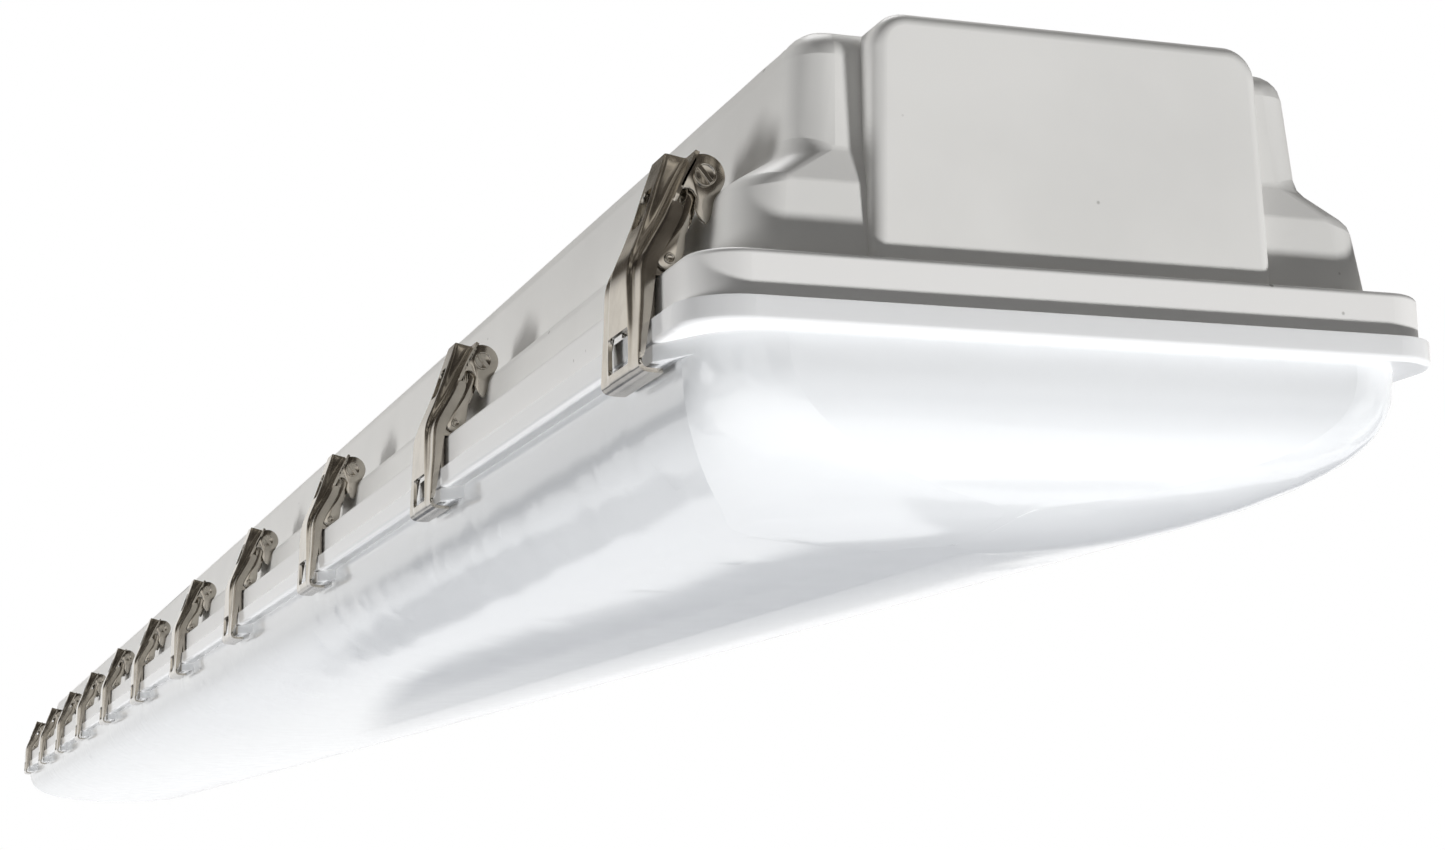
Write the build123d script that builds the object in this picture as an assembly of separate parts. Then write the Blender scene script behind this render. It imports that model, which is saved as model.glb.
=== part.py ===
from build123d import *
import math
import os

# Vapor tight light fixture: a long fibreglass housing, an opal lens and eleven latches a side.
# X runs along the fixture, Y across it and Z up. The origin is on the ceiling, at the middle of
# the four ceiling bolts. All sizes are in millimetres.

# Housing and rim
rim_length = 2440.0
rim_width = 200.0
rim_corner = 13.0
rim_height = 12.0
rim_ledge_wall = 3.0
rim_skirt_wall = 2.5
rim_edge_round = 1.5
housing_height = 73.0
housing_wall = 3.0
bracket_height = 10.0

# The side wall steps in twice: a lower tier, a sloping shoulder and an upper tier
ledge_width = 11.0
lower_tier_height = 20.0
lower_tier_draft = 3.0
shoulder_height = 9.0
shoulder_width = 14.5
upper_tier_draft = 2.5
lower_corner = 12.0
shoulder_foot_corner = 11.5
shoulder_top_corner = 10.5
top_corner = 9.5
shoulder_foot_round = 5.0
shoulder_top_round = 7.0
top_round = 8.0

# The end walls have the same tiers but stand steeper
end_ledge_width = 7.0
end_lower_draft = 1.5
end_shoulder_width = 2.5
end_upper_draft = 2.0

# Flat pads on both end walls for the conduit entry
boss_foot_width = 109.5
boss_top_width = 106.0
boss_rise = 2.0
boss_setback = 3.5
boss_depth = 44.0
boss_corner = 9.0
boss_round = 3.5

# Posts inside the housing that the gear tray hangs on
post_radius = 5.0
post_rows = 2
post_columns = 3
post_row_spacing = 124.0
post_end_setback = 100.0

# Lens
lens_flange_overhang = 2.6
lens_flange_height = 6.5
lens_depth = 45.0
lens_wall = 3.0
lens_body_inset = 3.0
lens_corner = 20.0
lens_curve_power = 2.8
lens_corner_growth_share = 0.9
lens_corner_limit_share = 0.95
lens_level_count = 14
lens_curve_share = 0.9
lens_curve_steps = 1800
tongue_thickness = 2.0
gasket_height = 4.0
seal_clearance = 0.3

# Latches
latches_per_side = 11
latch_end_setback = 45.0
latch_row_shift = 15.0
sheet = 1.2
pin_radius = 1.5
running_clearance = 0.05
fixed_clearance = 0.02
side_gap = 0.3

# Anchor that grips the rim and carries the lever's pin
anchor_width = 24.0
anchor_leaf_start = 0.8
anchor_leaf_drop = 10.8
anchor_ear_radius = 3.4
base_pin_setback = 3.0
base_pin_rise = 4.0
roller_radius = 2.4
roller_end_gap = 0.4
rivet_radius = 1.6
rivet_head_radius = 2.3
rivet_head_height = 1.0
rivet_tail_radius = 2.1
rivet_tail_height = 0.8
rivet_spacing = 15.0
rivet_rise = 2.7

# Lever: two arms and a web between them
lever_clearance = 0.6
lever_foot_radius = 3.2
lever_head_radius = 3.6
lever_rise = 21.0
lever_lean = 8.5
lever_web_start = 8.0
lever_web_length = 7.0
lever_web_offset = 2.0
lever_pin_overrun = 0.6

# Torsion spring round the top pin
spring_wire = 0.9
spring_radius = 2.4
spring_pitch = 1.5
spring_half_turns = 7
spring_leg = 4.5

# Hook plate: channel with ears at the top and a toe under the lens
hook_width = 32.0
hook_top_rise = 4.0
hook_top_reach = 4.5
hook_face_clearance = 2.4
hook_bend_rise = 10.0
hook_bend_radius = 9.0
toe_bend_radius = 2.0
toe_length = 6.2
toe_clearance = 1.2
lift_tab_rise = 7.0
lift_tab_foot_width = 27.0
lift_tab_width = 15.0
ear_radius = 5.5
ear_tail_length = 16.0
ear_tail_width = 2.6
ear_tail_setback = 1.2
ear_tail_lean = 3.5
ear_tail_point = 1.2
flange_upper_depth = 4.4
flange_lower_depth = 3.2
flange_foot_gap = 0.8
pin_head_radius = 3.0
pin_head_height = 1.2
window_width = 13.0
window_height = 9.5
window_foot = 2.6
slot_width = 5.0
slot_length = 10.0
slot_drop = 10.0

# Lug moulded on the lens for each hook
lug_foot_length = 60.0
lug_edge_length = 34.0
lug_height = 4.2
lug_root = 2.0

# Gear tray and what it carries
tray_thickness = 1.2
tray_clearance = 3.0
tray_rim_height = 8.0
tray_corner = 8.0
tray_depth = 56.0
board_width = 30.0
board_thickness = 1.6
board_count = 4
board_end_setback = 50.0
board_gap = 25.0
board_row_spacing = 76.0
chip_count = 12
chip_end_setback = 27.0
chip_length = 5.0
chip_width = 3.4
chip_height = 0.8
driver_length = 320.0
driver_width = 58.0
driver_height = 30.0
driver_round = 2.0
driver_tab_length = 14.0
driver_tab_thickness = 1.5
driver_hole_radius = 2.3
driver_1_setback = 600.0
driver_2_setback = 800.0
terminal_length = 46.0
terminal_width = 60.0
terminal_height = 20.0
terminal_setback = 180.0
terminal_ways = 3
terminal_way_pitch = 18.0
terminal_hole_radius = 3.2
terminal_hole_depth = 14.0

# Wires along the tray
wire_radius = 1.3
wire_bend = 14.0
wire_pitch = 5.0
wire_lift = 0.2
wire_side_step = 42.0
wire_lead = 34.0
wire_slant = 60.0

# Screws
screw_radius = 2.0
screw_head_radius = 3.8
screw_head_height = 2.0
screw_depth = 12.0
driver_screw_depth = 4.0

# Ceiling brackets and their bolts
bracket_thickness = 2.0
bracket_width = 40.0
bracket_top_length = 92.0
bracket_foot_length = 114.0
bracket_spacing = 1500.0
bracket_bend_radius = 1.0
ceiling_hole_radius = 3.5
ceiling_hole_spacing = 70.0
bolt_radius = 2.5
bolt_head_radius = 4.6
bolt_head_height = 3.2
bolt_washer_radius = 5.6
bolt_washer_height = 1.0
bolt_nut_height = 4.0
bolt_end = 2.0
bolt_spacing = 103.0
bolt_clearance = 0.15

# Conduit hub on the far end pad
hub_bore_radius = 10.6
hub_outer_radius = 16.5
hub_flange_radius = 19.5
hub_flange_height = 5.0
hub_length = 30.0
hub_neck_radius = 12.6
hub_neck_length = 13.0
hub_hole_clearance = 0.2
hub_drop = 31.0
locknut_radius = 17.0
locknut_height = 4.5
locknut_clearance = 0.05
hub_edge_round = 1.2

# Any cut runs past the face that it opens by this much, and edges are found within the band
overrun = 5.0
level_band = 0.1

# Heights, all below the ceiling
housing_top = -bracket_height
rim_bottom = housing_top - housing_height
rim_top = rim_bottom + rim_height
shoulder_foot = rim_top + lower_tier_height
shoulder_top = shoulder_foot + shoulder_height
tray_top = housing_top - tray_depth
tray_under = tray_top - tray_thickness
flange_under = rim_bottom - lens_flange_height
lug_under = flange_under - lug_height

# Half widths
rim_half = rim_width / 2
lower_half = rim_half - ledge_width
shoulder_foot_half = lower_half - lower_tier_draft
shoulder_top_half = shoulder_foot_half - shoulder_width
top_half = shoulder_top_half - upper_tier_draft
channel_outer = rim_half - rim_skirt_wall
cavity_half = lower_half - housing_wall
lens_outer_half = rim_half + lens_flange_overhang
lens_body_half = rim_half - lens_body_inset

# Distances from the middle along the fixture
rim_end = rim_length / 2
half_length_extra = rim_end - rim_half
lower_end = rim_end - end_ledge_width
shoulder_foot_end = lower_end - end_lower_draft
shoulder_top_end = shoulder_foot_end - end_shoulder_width
top_end = shoulder_top_end - end_upper_draft
boss_face = rim_end - boss_setback
first_latch = rim_end - latch_end_setback
latch_pitch = 2 * (first_latch - latch_row_shift) / (latches_per_side - 1)
post_column_spacing = 2 * (rim_end - post_end_setback) / (post_columns - 1)
board_pitch = 2 * (rim_end - board_end_setback) / board_count
board_length = board_pitch - board_gap
chip_pitch = (board_length - 2 * chip_end_setback) / (chip_count - 1)
driver_1_place = -rim_end + driver_1_setback
driver_2_place = rim_end - driver_2_setback
terminal_place = -rim_end + terminal_setback

# Latch pivots, as distance out from the middle and height
base_out = rim_half - base_pin_setback
base_height = rim_top + base_pin_rise
top_out = base_out - lever_lean
top_height = base_height + lever_rise
hook_face = lens_outer_half + hook_face_clearance + sheet
anchor_half = anchor_width / 2
arm_inner = anchor_half + lever_clearance
arm_outer = arm_inner + sheet
hook_half = hook_width / 2
flange_inner = hook_half - sheet


def plan(half_width, corner, height, end=None):
    """Rounded rectangle at a height. Its ends are in from the rim's as its sides are, or at end."""
    reach = half_width + half_length_extra if end is None else end
    return Pos(0, 0, height) * RectangleRounded(2 * reach, 2 * half_width, corner)


def prism(half_width, corner, low, high, end=None):
    """Upright prism on that rounded rectangle."""
    return extrude(plan(half_width, corner, low, end), amount=high - low)


def row(items):
    """The same pieces beside every latch of both sides, each row nearer to one end."""
    pieces = items if isinstance(items, list) else [items]
    placed = []
    for turn in (0, 180):
        for number in range(latches_per_side):
            place = Rot(0, 0, turn) * Pos(first_latch - number * latch_pitch, 0, 0)
            placed.extend(place * piece for piece in pieces)
    return placed


def save(name, solids):
    """Write one node."""
    kept = solids if isinstance(solids, list) else [solids]
    parts = []
    for item in kept:
        parts.extend(item.solids())
    export_step(Compound(children=parts) if len(parts) > 1 else parts[0], f"parts/{name}.step")


def side_sketch(points):
    """Face across the fixture from points given as distance out and height."""
    return make_face(Polyline([(-out, height) for out, height in points], close=True))


def across(sketch, start, thickness):
    """Sheet piece from a sketch across the fixture, from start along X."""
    return extrude(Plane.YZ.offset(start) * sketch, amount=thickness)


def lengthwise_rod(radius, out, height, start, end):
    """Round bar along X."""
    return extrude(Plane.YZ.offset(start) * Pos(-out, height) * Circle(radius), amount=end - start)


def level_edges(body, height):
    """Edges that lie at one height."""
    return body.edges().filter_by_position(Axis.Z, height - level_band, height + level_band)


def tiers(inset, low, high):
    """Body of the housing, set in by a wall where it is the hollow."""
    levels = (
        (lower_half, lower_end, lower_corner, low),
        (lower_half, lower_end, lower_corner, rim_top),
        (shoulder_foot_half, shoulder_foot_end, shoulder_foot_corner, shoulder_foot),
        (shoulder_top_half, shoulder_top_end, shoulder_top_corner, shoulder_top),
        (top_half, top_end, top_corner, high),
    )
    sections = []
    for half, end, corner, height in levels:
        sections.append(plan(half - inset, corner - inset, height, end - inset))
    body = loft(sections, ruled=True)
    body = fillet(level_edges(body, shoulder_foot), shoulder_foot_round - inset)
    body = fillet(level_edges(body, shoulder_top), shoulder_top_round + inset)
    return fillet(level_edges(body, high), top_round - inset)


def boss_sketch(inset):
    """Face of the end pad, with its two upper corners rounded."""
    foot = boss_foot_width / 2 - inset
    top = boss_top_width / 2 - inset
    low = rim_top + inset
    high = housing_top + boss_rise - inset
    face = make_face(Polyline([(-foot, low), (foot, low), (top, high), (-top, high)], close=True))
    corners = face.vertices().group_by(Axis.Y)[-1]
    return fillet(corners, boss_corner - inset)


def boss(inset):
    """End pad at the +X end, or the hollow inside it."""
    block = across(boss_sketch(inset), boss_face - boss_depth + inset, boss_depth - 2 * inset)
    if inset:
        return block
    front = block.faces().sort_by(Axis.X)[-1]
    edges = [edge for edge in front.edges() if edge.center().Z > rim_top + boss_round]
    return fillet(edges, boss_round)


def post_places():
    """Middles of the posts that carry the tray."""
    return GridLocations(post_column_spacing, post_row_spacing, post_columns, post_rows)


def bolt_places():
    """Bolts that hold the two ceiling brackets to the housing."""
    return GridLocations(bracket_spacing, bolt_spacing, 2, 2)


def make_housing():
    """Two-tier shell with a downward channel in its rim, end pads and tray posts."""
    outer = tiers(0, rim_bottom + rim_ledge_wall, housing_top)
    rim = prism(rim_half, rim_corner, rim_bottom, rim_top)
    rim = fillet(level_edges(rim, rim_top), rim_edge_round)
    channel_corner = rim_corner - rim_skirt_wall
    channel = prism(channel_outer, channel_corner, rim_bottom - overrun, rim_top - rim_ledge_wall)
    shell = rim - channel + outer
    for turn in (0, 180):
        shell += Rot(0, 0, turn) * boss(0)
    shell -= tiers(housing_wall, rim_bottom - overrun, housing_top - housing_wall)
    for turn in (0, 180):
        shell -= Rot(0, 0, turn) * boss(housing_wall)
    post = Cylinder(post_radius, tray_depth, align=(Align.CENTER, Align.CENTER, Align.MIN))
    pilot = Cylinder(screw_radius, screw_depth + overrun, align=(Align.CENTER, Align.CENTER, Align.MIN))
    shell += [outer & (place * Pos(0, 0, tray_top) * post) for place in post_places()]
    shell -= [place * Pos(0, 0, tray_top - overrun) * pilot for place in post_places()]
    hole = Cylinder(bolt_radius + bolt_clearance, housing_wall + 2 * overrun)
    shell -= [place * Pos(0, 0, housing_top) * hole for place in bolt_places()]
    shell -= row([place * rivet_bar() for place in rivet_places()])
    radius = hub_neck_radius + hub_hole_clearance
    inner = -boss_face + housing_wall + overrun
    return shell - lengthwise_rod(radius, 0, hub_height(), -rim_end - overrun, inner)


def hub_height():
    """Height of the conduit entry's axis."""
    return housing_top - hub_drop


def lens_levels():
    """Shares of the lens's depth and half width at levels evenly spaced along its curved side."""
    turns = [math.pi / 2 * step / lens_curve_steps for step in range(lens_curve_steps + 1)]
    power = 2 / lens_curve_power
    curve = [(math.sin(turn) ** power, math.cos(turn) ** power) for turn in turns]
    depth = lens_depth - lens_flange_height
    run = [0.0]
    for before, after in zip(curve, curve[1:]):
        down = depth * (after[0] - before[0])
        inward = lens_body_half * (before[1] - after[1])
        run.append(run[-1] + math.hypot(down, inward))
    end = lens_curve_share * run[-1]
    levels = []
    for number in range(lens_level_count):
        wanted = end * number / (lens_level_count - 1)
        levels.append(next(point for point, at in zip(curve, run) if at >= wanted))
    return levels


def lens_section(level, inset):
    """Half width, corner and height of the lens at a level, given as shares of its depth and half width."""
    share, rest = level
    depth = lens_depth - lens_flange_height - inset
    half = (lens_body_half - inset) * rest
    grown = lens_corner - inset + lens_corner_growth_share * (lens_body_half - inset - half)
    corner = min(grown, lens_corner_limit_share * half)
    return half, corner, flange_under - share * depth


def lens_dish(inset):
    """Pillow shape of the lens, or its hollow."""
    return loft([plan(*lens_section(level, inset)) for level in lens_levels()])


def make_lug():
    """Shallow tapered lip that one hook plate's toe grips."""
    foot = lens_body_half - lug_root
    points = [
        (-lug_foot_length / 2, -foot),
        (-lug_edge_length / 2, -lens_outer_half),
        (lug_edge_length / 2, -lens_outer_half),
        (lug_foot_length / 2, -foot),
    ]
    outline = make_face(Polyline(points, close=True))
    return extrude(Pos(0, 0, lug_under) * outline, amount=lug_height)


def make_lens():
    """Opal dish with a flange, an upright tongue that meets the gasket, and the lugs."""
    corner = rim_corner + lens_flange_overhang
    flange = prism(lens_outer_half, corner, flange_under, rim_bottom)
    flange = fillet(level_edges(flange, flange_under), rim_edge_round)
    inner = lens_body_half - lens_wall
    tongue_half = inner + tongue_thickness
    tongue_corner = lens_corner - lens_wall + tongue_thickness
    tongue = prism(tongue_half, tongue_corner, rim_bottom, gasket_under())
    solid = lens_dish(0) + flange + tongue
    solid += row(make_lug())
    mouth = prism(inner, lens_corner - lens_wall, flange_under, gasket_under() + overrun)
    return solid - (lens_dish(lens_wall) + mouth)


def gasket_under():
    """Underside of the gasket, where the lens's tongue meets it."""
    return rim_top - rim_ledge_wall - gasket_height


def make_gasket():
    """Foam seal in the top of the rim's channel."""
    low = gasket_under()
    high = rim_top - rim_ledge_wall
    ring = prism(channel_outer - seal_clearance, rim_corner - rim_skirt_wall - seal_clearance, low, high)
    inner = lower_half + seal_clearance
    end = lower_end + seal_clearance
    return ring - prism(inner, lower_corner + seal_clearance, low - overrun, high + overrun, end)


def make_anchor():
    """Clip over the rim with two ears for the lever's pin."""
    foot = rim_top + sheet
    inner = lower_half + anchor_leaf_start
    outer = rim_half + side_gap + sheet
    skirt = rim_half + side_gap
    low = rim_top - anchor_leaf_drop
    leaf = [(inner, rim_top), (skirt, rim_top), (skirt, low), (outer, low), (outer, foot), (inner, foot)]
    clip = across(side_sketch(leaf), -anchor_half, anchor_width)
    ear = Pos(-base_out, base_height) * Circle(anchor_ear_radius)
    left = base_out - anchor_ear_radius
    right = base_out + anchor_ear_radius
    ear += side_sketch([(left, foot), (right, foot), (right, base_height), (left, base_height)])
    clip += across(ear, -anchor_half, sheet)
    clip += across(ear, anchor_half - sheet, sheet)
    bore = pin_radius + running_clearance
    clip -= lengthwise_rod(bore, base_out, base_height, -anchor_width, anchor_width)
    return clip - [place * rivet_bar() for place in rivet_places()]


def rivet_height():
    """Height of the rivets through the rim's skirt."""
    return rim_bottom + rivet_rise


def rivet_places():
    """Two rivets side by side in the rim's skirt."""
    return [Pos(side * rivet_spacing / 2, -rim_half, rivet_height()) for side in (-1, 1)]


def rivet_bar():
    """Round bar across the rim's skirt, for a rivet's hole."""
    return Rot(90, 0, 0) * Cylinder(rivet_radius + fixed_clearance, 2 * overrun)


def make_rivet():
    """Blind rivet through the anchor and the rim's skirt."""
    out = rim_half + side_gap + sheet
    shank = channel_outer
    height = rivet_height()
    shape = side_sketch([
        (shank - rivet_tail_height, height),
        (shank - rivet_tail_height, height + rivet_tail_radius),
        (shank, height + rivet_tail_radius),
        (shank, height + rivet_radius),
        (out, height + rivet_radius),
        (out, height + rivet_head_radius),
        (out + rivet_head_height, height + rivet_radius),
        (out + rivet_head_height, height),
    ])
    axis = Axis((0, 0, height), (0, 1, 0))
    return revolve(Plane.YZ * shape, axis)


def strut(from_base, aside):
    """Point on the lever, measured up from its base pin and out from its line."""
    span = math.hypot(lever_lean, lever_rise)
    along_out = -lever_lean / span
    along_up = lever_rise / span
    out = base_out + along_out * from_base + along_up * aside
    return out, base_height + along_up * from_base - along_out * aside


def make_lever():
    """Stamped strut with two arms and a web."""
    span = math.hypot(lever_lean, lever_rise)
    foot = Pos(-base_out, base_height) * Circle(lever_foot_radius)
    head = Pos(-top_out, top_height) * Circle(lever_head_radius)
    arm = foot + head
    arm += side_sketch([
        strut(0, lever_foot_radius),
        strut(span, lever_head_radius),
        strut(span, -lever_head_radius),
        strut(0, -lever_foot_radius),
    ])
    arm -= Pos(-base_out, base_height) * Circle(pin_radius + fixed_clearance)
    arm -= Pos(-top_out, top_height) * Circle(pin_radius + running_clearance)
    web_end = lever_web_start + lever_web_length
    web = side_sketch([
        strut(lever_web_start, lever_web_offset),
        strut(web_end, lever_web_offset),
        strut(web_end, lever_web_offset - sheet),
        strut(lever_web_start, lever_web_offset - sheet),
    ])
    sheet_piece = across(arm, -arm_outer, sheet)
    sheet_piece += across(arm, arm_inner, sheet)
    return sheet_piece + across(web, -arm_inner, 2 * arm_inner)


def make_base_pin():
    """Pin in the lever's arms that turns in the anchor's ears."""
    end = arm_outer + lever_pin_overrun
    return lengthwise_rod(pin_radius, base_out, base_height, -end, end)


def make_roller():
    """Sleeve on the base pin, between the anchor's ears."""
    end = anchor_half - sheet - roller_end_gap
    sleeve = lengthwise_rod(roller_radius, base_out, base_height, -end, end)
    bore = pin_radius + fixed_clearance
    return sleeve - lengthwise_rod(bore, base_out, base_height, -end - overrun, end + overrun)


def spring_points(steps):
    """Points on the spring's line: its two legs, then steps points for each half turn."""
    start = -spring_pitch * spring_half_turns / 4
    points = []
    for number in range(spring_half_turns * steps + 1):
        angle = math.pi * number / steps
        points.append((start + spring_pitch * angle / math.tau, angle))
    return points


def make_spring():
    """Torsion spring round the top pin, one tube of half turns with a leg at each end."""
    first = -spring_pitch * spring_half_turns / 4
    lean = math.atan2(lever_lean, lever_rise)
    edges = []
    ends = []
    for number in range(spring_half_turns):
        side = 1 if number % 2 == 0 else -1
        low = first + number * spring_pitch / 2
        start = Vector(low, side * spring_radius, 0)
        crest = Vector(low + spring_pitch / 4, 0, spring_radius * side)
        finish = Vector(low + spring_pitch / 2, -side * spring_radius, 0)
        edges.append(ThreePointArc(start, crest, finish))
        ends.append((start, finish))
    leg = Vector(0, 0, -spring_leg)
    line = Wire([Line(ends[0][0] + leg, ends[0][0])] + edges + [Line(ends[-1][1], ends[-1][1] + leg)])
    tube = sweep(Plane(origin=ends[0][0] + leg, z_dir=(0, 0, 1)) * Circle(spring_wire / 2), path=line)
    return Pos(0, -top_out, top_height) * Rot(-math.degrees(lean), 0, 0) * tube


def hook_line():
    """Middle of the hook plate's sheet, from the lift tab's edge down to the toe's tip."""
    middle = hook_face - sheet / 2
    crest_out = top_out + hook_top_reach - sheet / 2
    crest = top_height + hook_top_rise
    bend = (middle, rim_bottom + hook_bend_rise)
    slope = (middle - crest_out) / (crest - bend[1])
    top = (crest_out - slope * lift_tab_rise, crest + lift_tab_rise)
    toe_height = lug_under - toe_clearance - sheet / 2
    points = [top, bend, (middle, toe_height), (middle - toe_length + sheet / 2, toe_height)]
    bends = [hook_bend_radius, toe_bend_radius]
    return FilletPolyline(*[(-out, height) for out, height in points], radius=bends)


def hook_outline():
    """Hook plate seen square on: full width up to the ears and a narrowing lift tab above."""
    crest = top_height + hook_top_rise
    low = lug_under - toe_clearance - overrun
    half = [
        (hook_half, low),
        (hook_half, crest),
        (lift_tab_foot_width / 2, crest),
        (lift_tab_width / 2, crest + lift_tab_rise),
    ]
    return make_face(Polyline(half + [(-x, height) for x, height in reversed(half)], close=True))


def hook_ear():
    """Side of the hook plate: a flange down its edge, the ear and the ear's tail."""
    reach = top_out + hook_top_reach
    crest = top_height + hook_top_rise
    bend = rim_bottom + hook_bend_rise
    foot = rim_bottom + flange_foot_gap
    strip = side_sketch([
        (reach, crest),
        (hook_face, bend),
        (hook_face, foot),
        (hook_face - flange_lower_depth, foot + flange_lower_depth),
        (hook_face - flange_lower_depth, bend),
        (reach - flange_upper_depth, crest - ear_radius),
        (reach - flange_upper_depth, crest),
    ])
    side = strip + Pos(-top_out, top_height) * Circle(ear_radius)
    back = top_out - ear_tail_setback
    root = top_height - ear_radius + ear_tail_point
    tip = top_height - ear_tail_length
    foot_back = back + ear_tail_lean
    side += side_sketch([
        (back, root),
        (back + ear_tail_width + ear_tail_point, root),
        (foot_back + ear_tail_width, tip + ear_tail_width),
        (foot_back + ear_tail_point, tip),
        (foot_back, tip + ear_tail_point),
    ])
    return side - Pos(-top_out, top_height) * Circle(pin_radius + fixed_clearance)


def make_hook():
    """Stamped plate: web with a slot and a window, two side flanges with ears, and the toe."""
    web = trace(hook_line(), line_width=sheet)
    plate = across(web, -hook_half, hook_width)
    plate &= extrude(Plane.XZ * hook_outline(), amount=rim_width, both=True)
    ear = hook_ear()
    plate += across(ear, -hook_half, sheet)
    plate += across(ear, flange_inner, sheet)
    window_low = lug_under - toe_clearance + window_foot
    upright = (Align.CENTER, Align.CENTER, Align.MIN)
    window = Box(window_width, 2 * hook_bend_radius, window_height, align=upright)
    plate -= Pos(0, -hook_face, window_low) * window
    slot = Plane.XZ * SlotOverall(slot_length, slot_width, rotation=90)
    slot = extrude(slot, amount=hook_bend_radius, both=True)
    return plate - Pos(0, -top_out - hook_top_reach, top_height + hook_top_rise - slot_drop) * slot


def make_top_pin():
    """Headed pin in the hook plate's ears that turns in the lever's arms."""
    end = hook_half + pin_head_height
    pin = lengthwise_rod(pin_radius, top_out, top_height, -hook_half, hook_half)
    pin += lengthwise_rod(pin_head_radius, top_out, top_height, hook_half, end)
    return pin + lengthwise_rod(pin_head_radius, top_out, top_height, -end, -hook_half)


def make_tray():
    """Shallow steel pan under the posts, with an upturned rim."""
    half = cavity_half - tray_clearance
    shape = prism(half, tray_corner, tray_under, tray_top + tray_rim_height)
    high = tray_top + tray_rim_height + overrun
    shape -= prism(half - tray_thickness, tray_corner - tray_thickness, tray_top, high)
    hole = Cylinder(screw_radius + fixed_clearance, 2 * overrun)
    shape -= [place * Pos(0, 0, tray_top) * hole for place in post_places()]
    return shape - [place * Pos(0, 0, tray_top) * hole for place in driver_screw_places()]


def driver_screw_places():
    """Screws through the end tabs of both drivers."""
    reach = driver_length / 2 + driver_tab_length / 2
    places = []
    for middle in (driver_1_place, driver_2_place):
        for side in (-1, 1):
            places.append(Pos(middle + side * reach, 0, 0))
    return places


def make_tray_screws():
    """Six screws up into the posts and four through the drivers' tabs."""
    top = Align.MAX
    low = Align.MIN
    up = Cylinder(screw_radius, screw_depth + tray_thickness, align=(Align.CENTER, Align.CENTER, low))
    up += Cylinder(screw_head_radius, screw_head_height, align=(Align.CENTER, Align.CENTER, top))
    down = Cylinder(screw_radius, driver_screw_depth, align=(Align.CENTER, Align.CENTER, top))
    down += Cylinder(screw_head_radius, screw_head_height, align=(Align.CENTER, Align.CENTER, low))
    screws = [place * Pos(0, 0, tray_under) * up for place in post_places()]
    height = tray_top + driver_tab_thickness
    screws += [place * Pos(0, 0, height) * down for place in driver_screw_places()]
    return screws


def make_boards():
    """Two rows of strip boards under the tray, each with its light chips."""
    board = Box(board_length, board_width, board_thickness, align=(Align.CENTER, Align.CENTER, Align.MAX))
    chip = Box(chip_length, chip_width, chip_height, align=(Align.CENTER, Align.CENTER, Align.MAX))
    chips = GridLocations(chip_pitch, 0, chip_count, 1)
    board += [place * Pos(0, 0, -board_thickness) * chip for place in chips]
    places = GridLocations(board_pitch, board_row_spacing, board_count, 2)
    return [Pos(0, 0, tray_under) * place * board for place in places]


def make_driver(middle):
    """Driver case with a fixing tab at each end."""
    case = Box(driver_length, driver_width, driver_height, align=(Align.CENTER, Align.CENTER, Align.MIN))
    case = fillet(case.edges().filter_by(Axis.Z) + level_edges(case, driver_height), driver_round)
    tabs = Box(
        driver_length + 2 * driver_tab_length,
        driver_width - 2 * driver_round,
        driver_tab_thickness,
        align=(Align.CENTER, Align.CENTER, Align.MIN),
    )
    reach = driver_length / 2 + driver_tab_length / 2
    hole = Cylinder(driver_hole_radius, 2 * overrun)
    case += tabs - [Pos(reach, 0, 0) * hole, Pos(-reach, 0, 0) * hole]
    return Pos(middle, 0, tray_top) * case


def make_terminal():
    """Terminal block, open towards the first driver for its wires."""
    low = (Align.CENTER, Align.CENTER, Align.MIN)
    block = Box(terminal_length, terminal_width, terminal_height, align=low)
    block = Pos(terminal_place, 0, tray_top) * block
    face = terminal_place + terminal_length / 2
    for number in range(terminal_ways):
        aside = (number - (terminal_ways - 1) / 2) * terminal_way_pitch
        height = tray_top + terminal_height / 2
        inner = face - terminal_hole_depth
        block -= lengthwise_rod(terminal_hole_radius, aside, height, inner, face + overrun)
        foot = terminal_place - terminal_length / 2
        inner = foot + terminal_hole_depth
        block -= lengthwise_rod(terminal_hole_radius, aside, height, foot - overrun, inner)
    return block


def wire(points):
    """Round wire through points, with bends of one radius."""
    line = FilletPolyline(*points, radius=wire_bend)
    start = Plane(origin=points[0], z_dir=Vector(*points[1]) - Vector(*points[0]))
    return sweep(start * Circle(wire_radius), path=line)


def make_wiring():
    """Supply wires from the terminal block to driver 1, and a pair on past it to driver 2."""
    low = tray_top + wire_radius + wire_lift
    entry = tray_top + terminal_height / 2
    face = terminal_place + terminal_length / 2
    end = driver_1_place - driver_length / 2 - wire_lift
    wires = []
    for number in range(terminal_ways):
        aside = -(number - (terminal_ways - 1) / 2) * terminal_way_pitch
        wires.append(wire([
            (face - terminal_hole_depth + wire_lift, aside, entry),
            (face + wire_lead, aside, entry),
            (end - wire_lead, aside, entry + wire_pitch),
            (end, aside, entry + wire_pitch),
        ]))
    start = driver_1_place + driver_length / 2 + driver_tab_length + wire_lift
    finish = driver_2_place - driver_length / 2 - driver_tab_length - wire_lift
    for side in (-1, 1):
        near = side * wire_pitch
        far = wire_side_step + near
        wires.append(wire([
            (start, near, low),
            (start + wire_lead, near, low),
            (start + wire_lead + wire_slant, far, low),
            (finish - wire_lead - wire_slant, far, low),
            (finish - wire_lead, near, low),
            (finish, near, low),
        ]))
    return wires


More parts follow.
